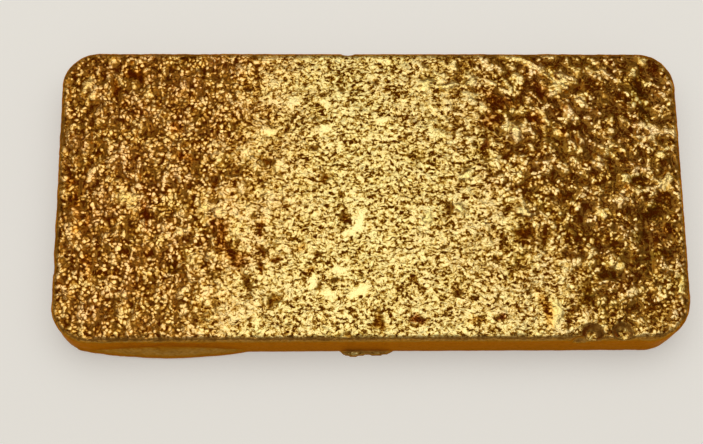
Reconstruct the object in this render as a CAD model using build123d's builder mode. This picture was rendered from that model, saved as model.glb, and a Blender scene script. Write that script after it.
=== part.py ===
"""A flat cast gold bar of one kilogram, poured in an open mould and turned out upside down.

The face that lay on the mould's floor is on top and the pour face is underneath. The walls flare by the
mould's draft, so the pour face is the larger one. The bar is one casting and one solid. Its frame has +X
along the bar's length, +Y towards the far wall and +Z up, with the origin under the middle of the bar, on
the level that it rests on. All lengths are in millimetres and all angles in degrees.
"""

import os
from math import acos, degrees, radians, tan

from build123d import *

# The casting as the mould made it
mould_face_length = 110.0
mould_face_width = 52.5
thickness = 9.0
wall_draft = 3.0

# Upright corners: each corner of the mould is worn to its own radius, measured at the mould face
near_left_corner = 6.4
near_right_corner = 7.4
far_right_corner = 6.5
far_left_corner = 6.4

# Edges: the mould floor's fillet rolls the top rim, and the poured metal draws in where it meets the wall
rim_roll = 1.3
pour_edge_roll = 0.45

# Pour face: shrinkage leaves a long shallow sink in the middle, inside a level border that the bar rests on
sink_length = 96.0
sink_width = 42.0
sink_depth = 0.45

# Overflow: where the mould was overfilled, the near wall swells outwards, most just above the pour face
swell_from_left_end = 6.0
swell_length = 27.0
swell_overhang = 1.1
swell_belly_height = 1.3
swell_height = 5.6

# Overflow: a thin fin of metal stands out from the near pour edge
fin_from_left_end = 49.3
fin_length = 9.6
fin_overhang = 1.0
fin_thickness = 0.6
fin_lean = 25.0

# The fin's ragged edge, as shares of its length and of its overhang: steep on the left, falling to the right
fin_edge = [(0, 0), (0.12, 0.75), (0.25, 1), (0.45, 0.7), (0.65, 0.75), (0.9, 0.45), (1, 0)]

# Casting scars in the mould face's rim, where gas or dross kept the metal off the mould
deep_scoop_from_right_end = 17.4
deep_scoop_from_near_rim = 1.0
deep_scoop_radius = 1.9
deep_scoop_depth = 1.4
round_scoop_from_right_end = 12.2
round_scoop_from_near_rim = 1.2
round_scoop_radius = 2.3
round_scoop_depth = 0.9
spill_scoop_from_right_end = 19.6
spill_scoop_drop = 0.9
spill_scoop_radius = 1.7
spill_scoop_depth = 0.8
far_nick_from_left_end = 51.0
far_nick_drop = 0.4
far_nick_radius = 1.6
far_nick_depth = 0.6
end_dent_from_near_rim = 13.2
end_dent_drop = 0.6
end_dent_radius = 1.9
end_dent_depth = 0.65

# Levels and edges: the casting is set back by half of its overhang, which keeps the origin in the middle
wall_slope = tan(radians(wall_draft))
flare = thickness * wall_slope
overhang = max(swell_overhang, fin_overhang)
ground = Plane(origin=(0, overhang / 2, 0))
left_end = -mould_face_length / 2
right_end = mould_face_length / 2
near_rim = -mould_face_width / 2
far_rim = mould_face_width / 2
near_pour_edge = near_rim - flare
overflow_root = near_pour_edge + thickness

# The pour face's outline, corner by corner and counter-clockwise from the near left
pour_corners = [
    (left_end - flare, near_pour_edge),
    (right_end + flare, near_pour_edge),
    (right_end + flare, far_rim + flare),
    (left_end - flare, far_rim + flare),
]
mould_radii = [near_left_corner, near_right_corner, far_right_corner, far_left_corner]

# The sink is a dish that curves gently along the bar and more across it
long_section = Plane(origin=ground.origin, x_dir=(1, 0, 0), z_dir=(0, -1, 0))
sink_across_radius = sink_width**2 / (8 * sink_depth)
sink_axis = Axis(ground.origin + (0, 0, sink_depth - sink_across_radius), (1, 0, 0))

# The swell's section stands across the near wall and is turned about an upright axis beyond the far wall
swell_middle = left_end + swell_from_left_end + swell_length / 2
swell_section = Plane(
    origin=ground.from_local_coords((swell_middle, 0, 0)), x_dir=(0, 1, 0), z_dir=(1, 0, 0)
)
swell_foot = near_pour_edge - swell_overhang + pour_edge_roll
swell_belly = near_pour_edge - swell_overhang
swell_top = near_pour_edge + swell_height * wall_slope
swell_radius = (swell_length**2 / 4 + swell_overhang**2) / (2 * swell_overhang)
swell_centre = ground.from_local_coords((swell_middle, swell_belly + swell_radius, 0))
swell_half_turn = degrees(acos(1 - (swell_overhang + pour_edge_roll) / swell_radius))

fin_start = left_end + fin_from_left_end
fin_end = fin_start + fin_length
fin_points = [
    (fin_start + along * fin_length, near_pour_edge - out * fin_overhang) for along, out in fin_edge
]

# Middle and radius of each scar's round bite
scars = [
    (
        right_end - deep_scoop_from_right_end,
        near_rim + deep_scoop_from_near_rim,
        thickness + deep_scoop_radius - deep_scoop_depth,
        deep_scoop_radius,
    ),
    (
        right_end - round_scoop_from_right_end,
        near_rim + round_scoop_from_near_rim,
        thickness + round_scoop_radius - round_scoop_depth,
        round_scoop_radius,
    ),
    (
        right_end - spill_scoop_from_right_end,
        near_rim - spill_scoop_radius + spill_scoop_depth,
        thickness - spill_scoop_drop,
        spill_scoop_radius,
    ),
    (
        left_end + far_nick_from_left_end,
        far_rim + far_nick_radius - far_nick_depth,
        thickness - far_nick_drop,
        far_nick_radius,
    ),
    (
        left_end - end_dent_radius + end_dent_depth,
        near_rim + end_dent_from_near_rim,
        thickness - end_dent_drop,
        end_dent_radius,
    ),
]

with BuildPart(ground) as gold_bar:
    # The block that the mould's floor and walls shape: it narrows upwards, and its worn corners with it
    with BuildSketch(ground):
        with BuildLine():
            FilletPolyline(*pour_corners, radius=[radius + flare for radius in mould_radii], close=True)
        make_face()
    extrude(amount=thickness, taper=wall_draft)

    # The rolled rim of the mould face and the drawn-in edge of the pour face
    fillet(gold_bar.faces().sort_by(Axis.Z)[-1].edges(), rim_roll)
    fillet(gold_bar.faces().sort_by(Axis.Z)[0].edges(), pour_edge_roll)

    # The swell: its section leaves the wall gently, and turned both ways it sinks back into the wall
    with BuildSketch(swell_section) as swell:
        with BuildLine():
            Spline(
                (swell_foot, 0),
                (swell_belly, swell_belly_height),
                (swell_top, swell_height),
                tangents=[(-1, 0), (0, 1), (wall_slope, 1)],
            )
            Polyline(
                (swell_top, swell_height),
                (overflow_root, swell_height),
                (overflow_root, 0),
                (swell_foot, 0),
            )
        make_face()
    for way in (1, -1):
        revolve(swell.sketch, axis=Axis(swell_centre, (0, 0, way)), revolution_arc=swell_half_turn)

    # The fin, which thins upwards and is rooted inside the bar
    with BuildSketch(ground):
        with BuildLine():
            Spline(*fin_points)
            Polyline(
                fin_points[-1],
                (fin_end, overflow_root),
                (fin_start, overflow_root),
                fin_points[0],
            )
        make_face()
    extrude(amount=fin_thickness, taper=fin_lean)

    # The shrinkage sink in the pour face
    with BuildSketch(long_section):
        with BuildLine():
            ThreePointArc((-sink_length / 2, 0), (0, sink_depth), (sink_length / 2, 0))
            Polyline(
                (sink_length / 2, 0),
                (sink_length / 2, -sink_depth),
                (-sink_length / 2, -sink_depth),
                (-sink_length / 2, 0),
            )
        make_face()
    revolve(axis=sink_axis, mode=Mode.SUBTRACT)

    # The casting scars
    for x, y, z, radius in scars:
        with Locations((x, y, z)):
            Sphere(radius, mode=Mode.SUBTRACT)

gold_bar.part.label = "gold_bar"
os.makedirs("parts", exist_ok=True)
export_step(gold_bar.part, "parts/gold_bar.step")
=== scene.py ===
from math import cos, pi, radians, sin

import bpy
import numpy as np
from mathutils import Matrix, Vector


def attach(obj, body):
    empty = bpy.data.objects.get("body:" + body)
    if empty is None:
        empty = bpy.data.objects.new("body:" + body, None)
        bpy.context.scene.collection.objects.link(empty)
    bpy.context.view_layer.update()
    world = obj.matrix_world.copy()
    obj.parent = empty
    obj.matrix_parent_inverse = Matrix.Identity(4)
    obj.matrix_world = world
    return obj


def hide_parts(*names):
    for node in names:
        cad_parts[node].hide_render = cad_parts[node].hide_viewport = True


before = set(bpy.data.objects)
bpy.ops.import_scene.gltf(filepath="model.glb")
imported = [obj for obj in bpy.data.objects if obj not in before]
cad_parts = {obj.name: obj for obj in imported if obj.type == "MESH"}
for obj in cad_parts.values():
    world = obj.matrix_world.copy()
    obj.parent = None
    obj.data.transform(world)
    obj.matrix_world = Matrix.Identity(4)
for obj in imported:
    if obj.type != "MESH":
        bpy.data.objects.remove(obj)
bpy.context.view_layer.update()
scene = bpy.context.scene
scene.view_settings.view_transform = "Standard"


# The gold bar is one casting of fine gold, poured into an open mould and turned out upside down.
# The mould's floor left its grain on the upper face: beads and flakes of metal with pores between.
# The solid is the smooth casting, and this skin stands for it with its grain raised.
MM = 0.001
skin_voxel = 0.21 * MM
skin_triangles = 196000
loose_gap = 0.001 * MM
left_end = -55.0 * MM
near_rim = -25.7 * MM
mould_face_above = 7.5 * MM

# Where the zones of the grain set in, each over a range: the right half and its outer end along
# the bar, the far part and the bolder beads across it
right_half = (-12.0 * MM, 12.0 * MM)
outer_end = (12.0 * MM, 50.0 * MM)
far_part = (-8.0 * MM, 8.0 * MM)
bold_part = (-20.0 * MM, 2.0 * MM)
bold_near = 0.35

# How much a face looks up, from 1 for level to -1 for upside down, over which the mould face, the
# rim, the walls and the pour face pass into each other
mould_looks = (0.4, 0.98)
rim_looks = (0.80, 0.98)
wall_looks = (0.30, 0.90)
pour_looks = (-0.9, -0.3)

# The grain: clumps of beads everywhere, upright columns on the left, plates with pores in the
# middle, and ridges at the far right that run down to the right
grain = {
    "Ridge Size": 3.6 * MM,
    "Ridge Height": 0.45 * MM,
    "Nodule Size": 2.0 * MM,
    "Nodule Height": 0.28 * MM,
    "Bead Size": 1.1 * MM,
    "Bead Height": 0.16 * MM,
    "Column Width": 1.6 * MM,
    "Column Length": 5.0 * MM,
    "Run Width": 1.8 * MM,
    "Run Length": 3.3 * MM,
    "Pore Size": 1.5 * MM,
    "Pore Depth": 0.15 * MM,
    "Wave Size": 9.0 * MM,
    "Wave Height": 0.55 * MM,
    "Drift Size": 1.8 * MM,
    "Drift": 0.8 * MM,
    "Plates Middle": -2.0 * MM,
    "Plates Reach": 46.0 * MM,
    "Wall Share": 0.25,
    "Underside Share": 0.12,
    "Seed": 0.3,
}
column_turn = 88
run_turn = -42
column_share = 0.75
run_share = 0.7
nodule_fall = 1.7
bead_fall = 2.0
pore_range = (0.22, 0.52)

# The line of the plates leans across the bar and is slimmer on the left: at the left and the right
plates_lean = (11.0, 15.0)
plates_slimness = (1.24, 0.93)
plates_wander = 0.6

# What is left of the ridges, nodules and beads on the plates, and of all relief on a calm mark
ridges_on_plates = 0.2
nodules_on_plates = 0.15
beads_on_plates = 0.4
relief_on_marks = 0.1

# The finest grain is too small for the mesh and lies in the metal's finish
crystal_size = 0.66 * MM
flake_size = 0.68 * MM
speck_size = 0.48 * MM
rough_size = 1.3 * MM
swell_size = 5.0 * MM
tint_size = 4.5 * MM
wide_drift_size = 2.6 * MM
wide_drift = 1.4 * MM
small_drift_size = 0.8 * MM
small_drift = (0.45 * MM, 0.95 * MM)
crystal_fall = 2.3
flake_stretch = (0.8, 1.2, 1.0)
flake_range = (0.38, 0.60)

# Its heights, each as a share of a millimetre
crystal_rise = 0.06
crystal_tilt = 0.07
rough_rise = 0.12
speck_rise = 0.02

# Metal tones, and the levels at which they stand from the pores up to the tops of the beads. The
# deep tones of the pores are partly the metal's own deeper colour in its hollows and partly painted
# shade, and the pale tone of the tops is partly a painted highlight
gold_top = (1.0, 0.74, 0.32, 1)
gold_flank = (0.85, 0.54, 0.155, 1)
gold_side = (0.54, 0.28, 0.038, 1)
gold_shaded_flank = (0.36, 0.11, 0.003, 1)
gold_low_shade = (0.19, 0.055, 0.001, 1)
gold_pore_shade = (0.07, 0.012, 0.0003, 1)
tone_stops = [
    (0.21, gold_pore_shade),
    (0.34, gold_low_shade),
    (0.44, gold_side),
    (0.54, gold_flank),
    (0.68, gold_top),
]
grazing_tone = (1.0, 0.45, 0.05, 1)

# How far a point leans from its surroundings, from 0, until it is dimmer and takes the side's and
# the deep tone, in painted shade on steep flanks, and how rough the metal is in the pores and on
# the tops
painted_shade_steepness = (0.010, 0.08)
side_steepness = (0.010, 0.06)
deep_steepness = (0.05, 0.16)
pore_roughness = 0.45
top_roughness = 0.26

# Tints of the three zones, of the drift over them, and the painted shade of the rim and walls
warm_left = (0.97, 0.86, 0.86, 1)
pale_middle = (0.88, 0.98, 1.06, 1)
cool_right = (0.97, 0.97, 1.12, 1)
yellow_drift = (1.0, 1.04, 0.80, 1)
pink_drift = (1.0, 0.98, 0.98, 1)
rim_painted_shade = (0.56, 0.42, 0.24, 1)
wall_painted_shade = (0.38, 0.32, 0.25, 1)

# Kinds of mark that stand out in the grain: rise in millimetres, calm, shade and tint. The shade is
# partly painted shade on pits, red pits, hollows and olive marks, a painted highlight on plates,
# lumps and bright marks, and the own deeper colour of stains, patches and orange marks
mark_kinds = {
    "pit": (-0.14, 0.1, -0.36, (1.0, 0.90, 0.80)),
    "hollow": (-0.10, 0.4, -0.36, (1.0, 0.80, 0.62)),
    "brown patch": (-0.15, 0.7, -0.20, (0.92, 0.80, 0.62)),
    "red pit": (-0.14, 0.1, -0.45, (0.90, 0.55, 0.60)),
    "red stain": (-0.05, 0.1, -0.22, (0.90, 0.70, 0.58)),
    "orange": (0.06, 0.2, -0.12, (1.0, 0.80, 0.52)),
    "olive": (-0.10, 0.5, -0.24, (0.80, 0.88, 0.78)),
    "plate": (0.04, 0.75, 0.40, (1.0, 1.03, 1.06)),
    "lump": (0.22, 0.0, 0.55, (1.0, 1.02, 0.90)),
    "bright": (0.12, 0.0, 0.60, (1.0, 1.02, 0.90)),
}

# Places of the marks on the mould face: from the left end and from the near rim, then length,
# width and the turn of the length, in millimetres and degrees
marks = [
    ("brown patch", 13.6, 48.0, 4.6, 2.2, 5),
    ("brown patch", 9.8, 45.4, 2.2, 2.8, 0),
    ("bright", 4.8, 46.5, 2.8, 1.3, 60),
    ("bright", 5.3, 43.9, 1.8, 1.3, 30),
    ("orange", 20.4, 38.2, 2.0, 1.5, 20),
    ("pit", 16.3, 37.7, 1.0, 2.8, 0),
    ("orange", 22.4, 32.8, 2.6, 1.6, -20),
    ("orange", 3.5, 24.1, 1.6, 4.0, 0),
    ("orange", 3.8, 19.6, 1.4, 3.0, 0),
    ("orange", 6.0, 13.7, 1.6, 3.6, 0),
    ("orange", 2.3, 28.0, 1.2, 3.0, 0),
    ("hollow", 15.7, 22.2, 1.2, 4.4, 5),
    ("hollow", 5.6, 20.3, 1.0, 3.6, -5),
    ("bright", 12.9, 24.9, 3.2, 2.8, 0),
    ("olive", 20.5, 12.7, 2.6, 2.0, 0),
    ("bright", 22.1, 19.2, 2.2, 1.4, 30),
    ("bright", 26.2, 23.7, 2.2, 1.4, 0),
    ("bright", 28.4, 22.6, 2.2, 1.2, 0),
    ("pit", 21.2, 5.9, 0.6, 5.0, 3),
    ("red stain", 28.6, 19.0, 3.2, 4.8, 20),
    ("red stain", 31.6, 14.4, 3.4, 3.4, -30),
    ("pit", 33.2, 10.6, 3.8, 1.1, -55),
    ("brown patch", 38.2, 7.4, 2.6, 1.3, 40),
    ("plate", 41.3, 43.3, 1.9, 1.0, 20),
    ("plate", 47.0, 42.7, 1.7, 1.2, -20),
    ("plate", 46.8, 37.8, 1.9, 1.6, 40),
    ("plate", 56.8, 39.5, 1.6, 1.0, 0),
    ("plate", 37.1, 37.5, 1.7, 1.4, 0),
    ("pit", 40.2, 38.0, 1.2, 1.2, 0),
    ("pit", 46.7, 44.4, 1.0, 0.8, 0),
    ("pit", 56.0, 46.9, 1.3, 0.8, -20),
    ("pit", 49.9, 45.4, 1.0, 0.8, 0),
    ("pit", 44.9, 34.5, 1.3, 1.0, 30),
    ("brown patch", 36.7, 31.9, 1.8, 1.3, 0),
    ("brown patch", 46.8, 28.9, 1.4, 1.7, 0),
    ("pit", 50.4, 21.6, 2.8, 1.5, -35),
    ("plate", 53.0, 21.2, 1.3, 2.6, -10),
    ("plate", 51.4, 19.3, 2.6, 1.0, 20),
    ("hollow", 35.6, 19.8, 1.0, 2.4, 0),
    ("hollow", 36.0, 15.7, 1.0, 2.0, 20),
    ("hollow", 38.3, 14.1, 1.5, 1.2, 0),
    ("hollow", 35.7, 12.9, 1.0, 1.9, 0),
    ("orange", 42.8, 16.4, 1.7, 1.2, 0),
    ("pit", 45.6, 15.2, 1.5, 0.9, 20),
    ("plate", 49.4, 12.3, 2.3, 1.2, 20),
    ("plate", 44.7, 9.9, 1.8, 1.4, 60),
    ("plate", 47.3, 8.3, 2.0, 1.2, 0),
    ("plate", 52.6, 8.6, 2.6, 1.6, 30),
    ("pit", 48.5, 10.5, 1.7, 0.7, 10),
    ("pit", 45.9, 9.5, 0.7, 1.5, 0),
    ("orange", 44.3, 12.3, 1.5, 1.0, 0),
    ("brown patch", 56.0, 3.2, 1.7, 3.6, 0),
    ("pit", 37.5, 6.2, 1.2, 1.0, 0),
    ("pit", 50.7, 1.1, 1.5, 0.8, 0),
    ("red pit", 62.5, 3.7, 2.0, 1.6, 0),
    ("lump", 64.9, 46.4, 2.4, 1.5, 0),
    ("lump", 68.8, 46.0, 2.6, 1.4, 10),
    ("lump", 73.0, 46.7, 2.0, 1.4, 0),
    ("pit", 68.6, 23.2, 1.4, 1.5, 0),
    ("lump", 70.2, 23.4, 1.6, 1.7, 0),
    ("lump", 71.6, 29.3, 2.0, 1.6, 0),
    ("lump", 64.8, 21.6, 2.0, 1.6, 0),
    ("pit", 69.7, 8.4, 1.7, 1.2, 0),
    ("orange", 72.7, 3.6, 1.9, 1.2, 0),
    ("pit", 76.9, 14.4, 1.7, 1.3, 0),
    ("red pit", 77.0, 4.0, 1.5, 1.0, 0),
    ("red stain", 77.6, 43.5, 5.2, 3.4, -10),
    ("red stain", 76.4, 39.8, 3.6, 3.0, 0),
    ("red pit", 75.3, 35.0, 1.3, 1.7, 0),
    ("lump", 80.4, 37.8, 3.0, 2.8, 0),
    ("pit", 82.6, 35.6, 3.6, 0.8, 15),
    ("hollow", 84.5, 39.9, 2.2, 2.8, 30),
    ("bright", 86.1, 40.1, 3.2, 1.0, -45),
    ("lump", 84.3, 49.8, 6.0, 1.5, -40),
    ("lump", 88.7, 46.8, 4.6, 3.4, -30),
    ("hollow", 92.5, 45.8, 1.8, 1.5, 0),
    ("hollow", 85.4, 45.2, 4.6, 1.8, -55),
    ("orange", 89.0, 37.4, 2.0, 1.8, 0),
    ("lump", 92.3, 35.9, 1.2, 2.2, 15),
    ("bright", 104.2, 38.6, 2.1, 1.2, 0),
    ("bright", 103.9, 36.3, 3.4, 1.4, 0),
    ("bright", 104.1, 51.0, 2.4, 1.2, 0),
    ("orange", 106.5, 49.1, 2.0, 1.4, -30),
    ("olive", 103.2, 43.5, 3.6, 6.4, 0),
    ("brown patch", 81.4, 18.8, 2.5, 2.2, 0),
    ("lump", 81.6, 22.5, 2.4, 2.0, 0),
    ("orange", 85.0, 5.3, 2.2, 5.0, 10),
    ("bright", 86.6, 4.6, 1.6, 4.2, 12),
    ("olive", 102.1, 28.5, 3.8, 1.8, 0),
    ("orange", 100.4, 27.0, 2.0, 1.4, 0),
    ("bright", 106.7, 28.1, 3.2, 2.4, 0),
    ("olive", 104.4, 22.4, 3.8, 2.6, 0),
    ("bright", 95.5, 22.6, 2.6, 1.6, -20),
    ("olive", 101.6, 18.4, 2.6, 2.0, 0),
    ("orange", 106.8, 19.2, 1.6, 2.2, 0),
    ("olive", 105.3, 15.2, 2.8, 2.0, 0),
    ("bright", 97.3, 12.9, 2.6, 1.5, -20),
    ("olive", 95.9, 11.1, 3.0, 2.0, 0),
    ("bright", 108.5, 9.1, 1.4, 4.4, 0),
    ("olive", 91.9, 7.2, 2.6, 3.2, 0),
]
marks_seed = 7


class Field:
    """One value of a node tree, which adds, subtracts, multiplies and divides as a number does."""

    def __init__(self, socket):
        self.socket = socket

    def math(self, operation, *others, clamp=False):
        """The result of one sum on this value."""
        tree = self.socket.id_data
        terms = dict(enumerate((self, *others)))
        return put(tree, "ShaderNodeMath", terms, operation=operation, use_clamp=clamp)

    def __add__(self, other):
        return self.math("ADD", other)

    def __sub__(self, other):
        return self.math("SUBTRACT", other)

    def __mul__(self, other):
        return self.math("MULTIPLY", other)

    def __truediv__(self, other):
        return self.math("DIVIDE", other)

    def held(self):
        """The same value, held between 0 and 1."""
        return self.math("ADD", 0.0, clamp=True)

    def between(self, at_none, at_full):
        """One number where this share is 0, the other where it is 1, and evenly between them."""
        return self * (at_full - at_none) + at_none

    def ease(self, low, high, to_low=0.0, to_high=1.0):
        """The value brought smoothly from one range to another and held at both ends."""
        tree = self.socket.id_data
        terms = {"Value": self, "From Min": low, "From Max": high}
        terms |= {"To Min": to_low, "To Max": to_high}
        return put(tree, "ShaderNodeMapRange", terms, interpolation_type="SMOOTHSTEP")


def put(tree, kind, inputs, output=0, **settings):
    """Adds one node, sets or links its inputs by name or place, and returns one of its outputs."""
    node = tree.nodes.new(kind)
    for name, value in settings.items():
        setattr(node, name, value)
    for key, value in inputs.items():
        if isinstance(value, Field):
            tree.links.new(value.socket, node.inputs[key])
        else:
            node.inputs[key].default_value = value
    return Field(node.outputs[output])


def vector(tree, operation, *terms, output=0, **more):
    """Adds one sum on vectors."""
    inputs = dict(enumerate(terms)) | more
    return put(tree, "ShaderNodeVectorMath", inputs, output, operation=operation)


def part(tree, place, axis):
    """One of the three numbers of a place."""
    return put(tree, "ShaderNodeSeparateXYZ", {0: place}, axis)


def scale_for(size):
    """The scale at which a texture's cells have that size."""
    return size.math("POWER", -1.0) if isinstance(size, Field) else 1 / size


def noise(tree, place, size, detail=2.0, roughness=0.5, output=0):
    """Soft random swells about as long as the size, from 0 to 1."""
    terms = {"Vector": place, "Scale": scale_for(size), "Detail": detail, "Roughness": roughness}
    return put(tree, "ShaderNodeTexNoise", terms, output)


def crystals(tree, place, size, fall):
    """Round-topped crystals of that size: how high each stands, its own lean and its own chance."""
    terms = {"Vector": place, "Scale": scale_for(size)}
    away = put(tree, "ShaderNodeTexVoronoi", terms, "Distance")
    colour, middle = (Field(away.socket.node.outputs[name]) for name in ("Color", "Position"))
    dome = (away * away * -fall + 1.0).ease(0.0, 1.0)
    own = vector(tree, "SUBTRACT", colour, (0.5, 0.5, 0.5))
    offset = vector(tree, "SUBTRACT", place, middle)
    lean = vector(tree, "DOT_PRODUCT", own, offset, output="Value")
    return dome, lean / size, part(tree, colour, "X")


def wandering(tree, place, size, reach):
    """The place moved about at random, so that no cell is a perfect one."""
    shift = vector(tree, "SUBTRACT", noise(tree, place, size, output="Color"), (0.5, 0.5, 0.5))
    return vector(tree, "ADD", place, vector(tree, "SCALE", shift, Scale=reach))


def streaks(tree, place, turn, length, width):
    """Random ridges that run one way: long along the turn and narrow across it."""
    terms = {"Vector": place, "Angle": radians(-turn)}
    turned = put(tree, "ShaderNodeVectorRotate", terms, rotation_type="Z_AXIS")
    flat = put(tree, "ShaderNodeCombineXYZ", {
        "X": part(tree, turned, "X") / length,
        "Y": part(tree, turned, "Y") / width,
    })
    return noise(tree, flat, 1.0)


def mixed(tree, first, second, share, way="MIX"):
    """The first colour with a share of the second."""
    terms = {0: share, 6: first, 7: second}
    return put(tree, "ShaderNodeMix", terms, 2, data_type="RGBA", blend_type=way)


def tinted_by(tree, first, second):
    """The first colour multiplied by the second."""
    return mixed(tree, first, second, 1.0, "MULTIPLY")


def store(tree, shape, name, value, kind="FLOAT"):
    """Keeps a value on each point of the shape under that name."""
    terms = {"Geometry": shape, "Name": name, "Value": value}
    return put(tree, "GeometryNodeStoreNamedAttribute", terms, data_type=kind, domain="POINT")


def stored(tree, name, kind="FLOAT"):
    """The value that the points of the shape keep under that name."""
    return put(tree, "GeometryNodeInputNamedAttribute", {"Name": name}, data_type=kind)


def settled(thing, name):
    """Turns an object and its modifiers into a plain mesh on a new object, in place of the old."""
    mesh = bpy.data.meshes.new_from_object(
        thing.evaluated_get(bpy.context.evaluated_depsgraph_get())
    )
    bpy.data.objects.remove(thing)
    plain = bpy.data.objects.new(name, mesh)
    scene.collection.objects.link(plain)
    return plain


def points_of(mesh):
    """The places of the mesh's points, one row for each."""
    points = np.empty(len(mesh.vertices) * 3, dtype=np.float32)
    mesh.vertices.foreach_get("co", points)
    return points.reshape(-1, 3)


def casting_skin():
    """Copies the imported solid's mesh, merges its loose triangles and divides it finely."""
    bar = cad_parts["gold_bar"].copy()
    bar.data = bar.data.copy()
    bar.parent = None
    scene.collection.objects.link(bar)
    weld = bar.modifiers.new("weld", "WELD")
    weld.merge_threshold = loose_gap
    remesh = bar.modifiers.new("skin", "REMESH")
    remesh.mode = "VOXEL"
    remesh.voxel_size = skin_voxel
    remesh.use_smooth_shade = True
    return settled(bar, "casting")


def place_marks(thing):
    """Stores on each point how the marks lift, smooth, shade and tint it."""
    mesh = thing.data
    points = points_of(mesh)
    upper = np.flatnonzero(points[:, 2] > mould_face_above)
    lift, calm, shade = (np.zeros(len(points), dtype=np.float32) for _ in range(3))
    stain = np.ones((len(points), 4), dtype=np.float32)
    chance = np.random.default_rng(marks_seed)
    for kind, along, across, length, width, turn in marks:
        rise, smooth, stain_and_painted_light, tint = mark_kinds[kind]
        dx = points[upper, 0] - (left_end + along * MM)
        dy = points[upper, 1] - (near_rim + across * MM)
        way = radians(turn)
        lengthwise = (dx * cos(way) + dy * sin(way)) / (length / 2 * MM)
        crosswise = (dy * cos(way) - dx * sin(way)) / (width / 2 * MM)

        # The mark's edge is ragged and soft: full up to half of its size and gone at one and a half
        angle = np.arctan2(crosswise, lengthwise)
        first, second = chance.uniform(0, 2 * pi, 2)
        edge = 1 + 0.25 * np.sin(2 * angle + first) + 0.20 * np.sin(3 * angle + second)
        edge += 0.15 * np.sin(7 * angle + first)
        share = np.clip(1.5 - np.hypot(lengthwise, crosswise) / edge, 0, 1)
        share = share * share * (3 - 2 * share)
        lift[upper] += share * rise * MM
        calm[upper] = np.maximum(calm[upper], share * smooth)
        shade[upper] += share * stain_and_painted_light
        stain[upper, :3] *= 1 + (np.array(tint) - 1) * share[:, None]
    for name, values in (("lift", lift), ("calm", calm), ("shade", shade)):
        mesh.attributes.new(name, "FLOAT", "POINT").data.foreach_set("value", values)
    mesh.attributes.new("stain", "FLOAT_COLOR", "POINT").data.foreach_set("color", stain.ravel())


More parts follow.
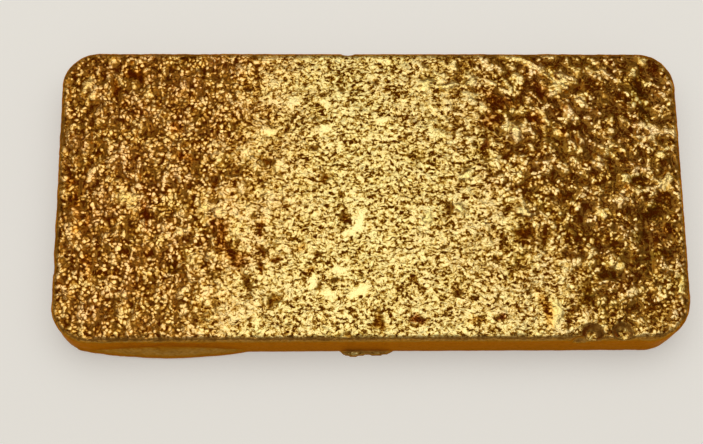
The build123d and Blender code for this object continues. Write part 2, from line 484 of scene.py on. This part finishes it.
def grain_tree():
    """Builds the tree that raises the grain and stores how high each point of it stands."""
    tree = bpy.data.node_groups.new("cast grain", "GeometryNodeTree")
    tree.is_modifier = True
    sockets = tree.interface
    sockets.new_socket("Geometry", in_out="INPUT", socket_type="NodeSocketGeometry")
    for name in grain:
        sockets.new_socket(name, in_out="INPUT", socket_type="NodeSocketFloat")
    sockets.new_socket("Geometry", in_out="OUTPUT", socket_type="NodeSocketGeometry")
    given = {socket.name: Field(socket) for socket in tree.nodes.new("NodeGroupInput").outputs}
    place = put(tree, "GeometryNodeInputPosition", {})
    normal = put(tree, "GeometryNodeInputNormal", {})
    across = part(tree, place, "Y")

    # The plates fade from the middle to both ends, along a line that leans and wanders
    reach = given["Plates Reach"]
    along = part(tree, place, "X") - given["Plates Middle"]
    right_side = along.ease(reach * -0.3, reach * 0.3)
    lean = across * right_side.between(*plates_lean)
    along = along * (lean + right_side.between(*plates_slimness))
    along = along + (noise(tree, place, reach * 0.3, 3.0) - 0.5) * reach * plates_wander
    plated = along.math("ABSOLUTE").ease(0.0, reach, 1.0, 0.0)
    ends = plated.between(1.0, 0.0)
    columned = ends * right_side.between(1.0, 0.0)
    far_right = right_side * across.ease(*far_part)
    bold = right_side * ends * across.ease(*bold_part, bold_near, 1.0)

    # Ridges, nodules, beads and pores on coordinates that wander and that the seed shifts
    seeded = vector(tree, "ADD", place, vector(tree, "SCALE", (1.0, 1.0, 1.0), Scale=given["Seed"]))
    grain_place = wandering(tree, seeded, given["Drift Size"], given["Drift"])
    columns = streaks(tree, grain_place, column_turn, given["Column Length"], given["Column Width"])
    runs = streaks(tree, grain_place, run_turn, given["Run Length"], given["Run Width"])
    lumps = noise(tree, grain_place, given["Ridge Size"], 3.0)
    ridge = lumps + (columns - lumps) * columned * column_share
    ridge = ridge + (runs - lumps) * far_right * run_share
    nodule, nodule_lean, nodule_chance = crystals(
        tree, grain_place, given["Nodule Size"], nodule_fall
    )
    bead, _, bead_chance = crystals(tree, grain_place, given["Bead Size"], bead_fall)
    pore = noise(tree, seeded, given["Pore Size"], 3.0, 0.6) + plated * 0.03
    pore = pore.ease(*pore_range)
    wave = noise(tree, place, given["Wave Size"])
    top = nodule * nodule_chance.between(0.4, 1.0)

    # The relief: each kind rises and falls about its mean, it is lower on the plates, and the marks
    # calm it and lift it
    ridges = (ridge - 0.5) * 2.0 * given["Ridge Height"]
    nodules = (top - 0.4 + nodule_lean * 0.4) * given["Nodule Height"]
    beads = (bead * bead_chance - 0.4) * given["Bead Height"]
    rise = ridges * plated.between(1.0, ridges_on_plates)
    rise = rise + nodules * plated.between(1.0, nodules_on_plates)
    rise = rise + beads * plated.between(1.0, beads_on_plates)
    rise = rise + (pore - 0.8) * given["Pore Depth"]
    rise = rise * stored(tree, "calm").between(1.0, relief_on_marks) + stored(tree, "lift")
    rise = rise + (wave - 0.5) * given["Wave Height"]

    # The walls are smoother, and so is the pour face, which looks down and froze in the open air
    up = part(tree, normal, "Z")
    rise = rise * up.ease(*pour_looks, given["Underside Share"], given["Wall Share"])
    rise = rise * up.ease(*mould_looks, 1.0, given["Wall Share"].math("POWER", -1.0))

    # How high each point stands, from 0 in the gaps to 1 on the tops, which sets its tone. The
    # weights were set until each zone had the photograph's contrast.
    # Its tone is partly painted shade in the gaps and a painted highlight on the tops.
    contrast = far_right * 5.6 - right_side * 2.0 + 4.6
    stand = (ridge - 0.5) * contrast + top * bold.between(0.5, 1.1)
    stand = (stand + bold * -0.18 - right_side * 0.10 + 0.27) * ends
    stand = stand + (bead * bead_chance.between(0.3, 1.0) - 0.38) * bold * 1.1 + plated * 0.56
    # Lower towards the far side: a painted fall-off of the light.
    stand = (stand * pore.between(0.4, 1.0) - across * 1.6).held()

    shape = store(tree, given["Geometry"], "stand", stand)
    shape = store(tree, shape, "rim", up.ease(*rim_looks, 1.0, 0.0))
    shape = store(tree, shape, "wall", up.ease(*wall_looks, 1.0, 0.0))
    shape = store(tree, shape, "plated", plated)
    shape = store(tree, shape, "smooth_normal", normal, "FLOAT_VECTOR")
    shape = put(tree, "GeometryNodeSetPosition", {
        "Geometry": shape,
        "Offset": vector(tree, "SCALE", normal, Scale=rise),
    })
    before = stored(tree, "smooth_normal", "FLOAT_VECTOR")
    facing = vector(tree, "DOT_PRODUCT", before, normal, output="Value")
    shape = store(tree, shape, "steep", facing.between(1.0, 0.0))

    # The bar rests on its floor, so no grain reaches below it
    moved = put(tree, "GeometryNodeInputPosition", {})
    shape = put(tree, "GeometryNodeSetPosition", {
        "Geometry": shape,
        "Position": vector(tree, "MAXIMUM", moved, (-1.0, -1.0, 0.0)),
    })
    shape = put(tree, "GeometryNodeSetShadeSmooth", {"Geometry": shape})
    shape = put(tree, "GeometryNodeRealizeInstances", {"Geometry": shape})
    shape = put(tree, "GeometryNodeSetMaterial", {"Geometry": shape, "Material": cast_gold()})
    tree.links.new(shape.socket, tree.nodes.new("NodeGroupOutput").inputs[0])
    return tree


def cast_gold():
    """Fine gold as cast: bright on the beads, deeper in colour and duller in the pores, in part as
    painted highlight and painted shade.
    """
    material = bpy.data.materials.new("cast_gold")
    material.use_nodes = True
    tree = material.node_tree
    tree.nodes.clear()
    place = put(tree, "ShaderNodeTexCoord", {}, "Object")
    stand, plated, calm, shade, rim, wall, raised_steep = (
        put(tree, "ShaderNodeAttribute", {}, "Fac", attribute_name=name)
        for name in ("stand", "plated", "calm", "shade", "rim", "wall", "steep")
    )
    stain = put(tree, "ShaderNodeAttribute", {}, "Color", attribute_name="stain")
    ends = plated.between(1.0, 0.0)
    right_side = part(tree, place, "X").ease(*right_half)
    right_end = part(tree, place, "X").ease(*outer_end)
    far_right = right_side * part(tree, place, "Y").ease(*far_part)

    # The finest grain: crystals that each lean their own way, and flakes on the plates
    fine_place = wandering(tree, place, wide_drift_size, wide_drift)
    fine_place = wandering(tree, fine_place, small_drift_size, plated.between(*small_drift))
    dome, lean, chance = crystals(tree, fine_place, crystal_size, crystal_fall)
    flat_place = vector(tree, "MULTIPLY", fine_place, flake_stretch)
    flake = noise(tree, flat_place, flake_size, 3.0, 0.65).ease(*flake_range)
    rough = noise(tree, place, rough_size)
    speck = noise(tree, place, speck_size, 1.0)
    quiet = calm.between(1.0, 0.2) * wall.between(1.0, 0.4)
    top = dome * chance.between(0.5, 1.0)
    fine = top * crystal_rise + lean * crystal_tilt + rough * rough_rise + speck * speck_rise
    fine = fine * quiet * plated.between(1.0, 0.7)
    bump = put(tree, "ShaderNodeBump", {"Height": fine, "Distance": MM, "Strength": 1.0})
    upright = put(tree, "ShaderNodeNewGeometry", {}, "Normal")
    facing = vector(tree, "DOT_PRODUCT", upright, bump, output="Value")
    steep = (facing.between(1.0, 0.0) + raised_steep) * wall.between(1.0, 0.0)

    # The level of the tone: by crystals at both ends of the bar and by flakes in the middle. Here
    # too the weights were set until the tones were the photograph's.
    # A few crystals at random are paler still: painted glints.
    painted_glint = chance.ease(0.80, 1.0, 0.0, 0.45)
    own = stand * far_right.between(0.74, 1.14) + chance * 0.18 + painted_glint + shade
    # Dimmer towards the right end and the far right: a painted fall-off of the light from the
    # middle.
    own = own - right_end * 0.19 - far_right * 0.06 + 0.29
    # Each crystal is pale in the middle and deep at its edge: painted highlight on top, painted
    # shade between.
    cells = own * (dome * far_right.between(0.94, 0.82) + far_right.between(0.13, 0.21))
    flakes = stand * plated.between(0.64, 0.24) + flake * plated.between(0.41, 0.43)
    # The flakes are dimmer towards both ends too, most on the right: a painted fall-off of the
    # light.
    flakes = flakes + chance * 0.10 + shade + ends * right_side.between(-0.075, -0.135) + 0.075
    flaky = (plated.ease(0.05, 0.90) + 0.32).held()
    # Marks with a positive shade are paler still: a painted highlight.
    level = cells + (flakes - cells) * flaky + shade.held() * 0.30
    level = level + (rough - 0.5) * plated.between(0.6, 0.3)
    level = level + (speck - 0.5) * plated.between(0.5, 0.75)
    level = level + (noise(tree, place, swell_size) - 0.46) * plated * 0.45

    # Calm marks and walls are plainer, and steep flanks are dimmer in painted shade
    calm_level = stand * 0.30 + shade + 0.36
    level = calm_level + (level - calm_level) * quiet
    level = level * steep.ease(*painted_shade_steepness, 1.01, 0.91)
    wall_level = (rough - 0.5) * 0.30 + (speck - 0.5) * 0.35 + 0.55
    level = level + (wall_level - level) * wall * 0.85

    tone = put(tree, "ShaderNodeValToRGB", {0: level.held()}, "Color")
    ramp = tone.socket.node.color_ramp
    ramp.elements[0].position, ramp.elements[0].color = tone_stops[0]
    ramp.elements[1].position, ramp.elements[1].color = tone_stops[-1]
    for stop, colour in tone_stops[1:-1]:
        ramp.elements.new(stop).color = colour
    # Steep flanks take the side's and the deep tone: painted shade.
    toned = mixed(tree, tone, gold_side, steep.ease(*side_steepness, 0.0, 0.55))
    toned = mixed(tree, toned, gold_shaded_flank, steep.ease(*deep_steepness))
    # The rolled rim takes the flank's tone, as part of its painted shade.
    toned = mixed(tree, toned, gold_flank, rim * 0.6)

    tint = mixed(tree, mixed(tree, warm_left, cool_right, right_side), pale_middle, plated)
    drift = (noise(tree, place, tint_size) - 0.5) * plated.between(3.6, 0.6) + 0.5
    tint = tinted_by(tree, tint, mixed(tree, yellow_drift, pink_drift, drift.held()))
    # Painted shade on the rolled rim and the walls.
    tint = mixed(tree, mixed(tree, tint, rim_painted_shade, rim), wall_painted_shade, wall)
    roughness = level.ease(0.2, 0.8, pore_roughness, top_roughness) + wall * 0.03
    shader = put(tree, "ShaderNodeBsdfPrincipled", {
        "Base Color": tinted_by(tree, tinted_by(tree, toned, stain), tint),
        "Metallic": 1.0,
        "Specular Tint": grazing_tone,
        "Roughness": roughness,
        "Normal": bump,
    })
    out = tree.nodes.new("ShaderNodeOutputMaterial")
    tree.links.new(shader.socket, out.inputs["Surface"])
    return material


casting = casting_skin()
place_marks(casting)
grain_group = grain_tree()
raised = casting.modifiers.new("grain", "NODES")
raised.node_group = grain_group
for socket in grain_group.interface.items_tree:
    if socket.in_out == "INPUT" and socket.name in grain:
        raised[socket.identifier] = grain[socket.name]
skin = settled(casting, "raised")

# Where the skin is smooth it needs few triangles, so most of them stay on the mould face
thin = skin.modifiers.new("thin", "DECIMATE")
thin.ratio = skin_triangles / sum(len(face.vertices) - 2 for face in skin.data.polygons)
skin = settled(skin, "bar_skin")
skin_points = points_of(skin.data)
skin_points[:, 2] = np.maximum(skin_points[:, 2], 0)
skin.data.vertices.foreach_set("co", skin_points.ravel())
skin.data.update()
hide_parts("gold_bar")
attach(skin, "root")


# The floor is a plain pale sheet, wide enough to fill the view behind the bar. It glows a little
# to the camera and in the metal, so that it shows pale, and it still takes the bar's shadow.
floor_reach = 3.0
floor_glow = 0.30
floor_tone = (0.8, 0.8, 0.78, 1)
floor_glow_tone = (1.0, 1.0, 0.98, 1)
bpy.ops.mesh.primitive_plane_add(size=2 * floor_reach)
floor = bpy.context.object
floor.name = "floor"
paper = bpy.data.materials.new("pale_floor")
paper.use_nodes = True
sheet = paper.node_tree
seen, mirrored, through = (
    put(sheet, "ShaderNodeLightPath", {}, ray)
    for ray in ("Is Camera Ray", "Is Glossy Ray", "Is Transmission Ray")
)
paper_shader = sheet.nodes["Principled BSDF"]
paper_shader.inputs["Base Color"].default_value = floor_tone
paper_shader.inputs["Roughness"].default_value = 0.9
paper_shader.inputs["Emission Color"].default_value = floor_glow_tone
glow = (seen + mirrored + through).held() * floor_glow
sheet.links.new(glow.socket, paper_shader.inputs["Emission Strength"])
floor.data.materials.append(paper)


# Three soft round lamps of growing size hang above the bar and slightly behind it, and a warm,
# even surround fills the shadows. The camera itself sees the surround pale.
room_light = 0.28
room_seen = 0.70
warm_room = (1.0, 0.86, 0.66, 1)
pale_room = (1.0, 0.99, 0.97, 1)


def way_to(turn, rise):
    """The way from the bar at that turn around it, from the front, and that rise, in radians."""
    return Vector((sin(turn) * cos(rise), -cos(turn) * cos(rise), sin(rise)))


def softbox(name, turn, rise, distance, width, depth, radiance):
    """A round lamp of even brightness, aimed at the bar: angles in degrees, lengths in metres."""
    lamp = bpy.data.lights.new(name, "AREA")
    lamp.shape = "ELLIPSE"
    lamp.size = width
    lamp.size_y = depth
    area = width * depth * pi / 4
    lamp.energy = radiance * area * pi
    lamp_object = bpy.data.objects.new(name, lamp)
    scene.collection.objects.link(lamp_object)
    way = way_to(radians(turn), radians(rise))
    lamp_object.location = way * distance
    lamp_object.rotation_mode = "QUATERNION"
    lamp_object.rotation_quaternion = way.to_track_quat("Z", "Y")


softbox("key_softbox", turn=182, rise=80, distance=0.38, width=0.22, depth=0.18, radiance=0.34)
softbox("inner_diffuser", turn=182, rise=80, distance=0.385, width=0.42, depth=0.34, radiance=0.44)
softbox("outer_diffuser", turn=182, rise=79, distance=0.39, width=0.74, depth=0.52, radiance=0.54)
world = bpy.data.worlds.new("surround")
scene.world = world
world.use_nodes = True
surround = world.node_tree
room = surround.nodes["Background"]
looked_at = put(surround, "ShaderNodeLightPath", {}, "Is Camera Ray")
room_tone = mixed(surround, warm_room, pale_room, looked_at)
surround.links.new(room_tone.socket, room.inputs["Color"])
surround.links.new(looked_at.between(room_light, room_seen).socket, room.inputs["Strength"])


# The camera stands where the photograph was taken from, which was fitted to the bar's outline: its
# turn around the bar, its rise above the floor, its roll, its lens and the point that it looks at.
view_turn = radians(-5.26)
view_rise = radians(75.37)
view_roll = radians(4.98)
view_distance = 0.2236
view_lens = 65.8
view_aim = Vector((-0.00358, -0.00481, 0.009))
camera = bpy.data.objects.new("camera", bpy.data.cameras.new("camera"))
scene.collection.objects.link(camera)
camera.data.lens = view_lens
camera.data.sensor_width = 36
back = way_to(view_turn, view_rise)
level_right = Vector((0, 0, 1)).cross(back).normalized()
level_up = back.cross(level_right)
camera_right = level_right * cos(view_roll) + level_up * sin(view_roll)
camera_up = level_up * cos(view_roll) - level_right * sin(view_roll)
turned = Matrix((camera_right, camera_up, back)).transposed().to_4x4()
camera.matrix_world = Matrix.Translation(view_aim + back * view_distance) @ turned
scene.camera = camera
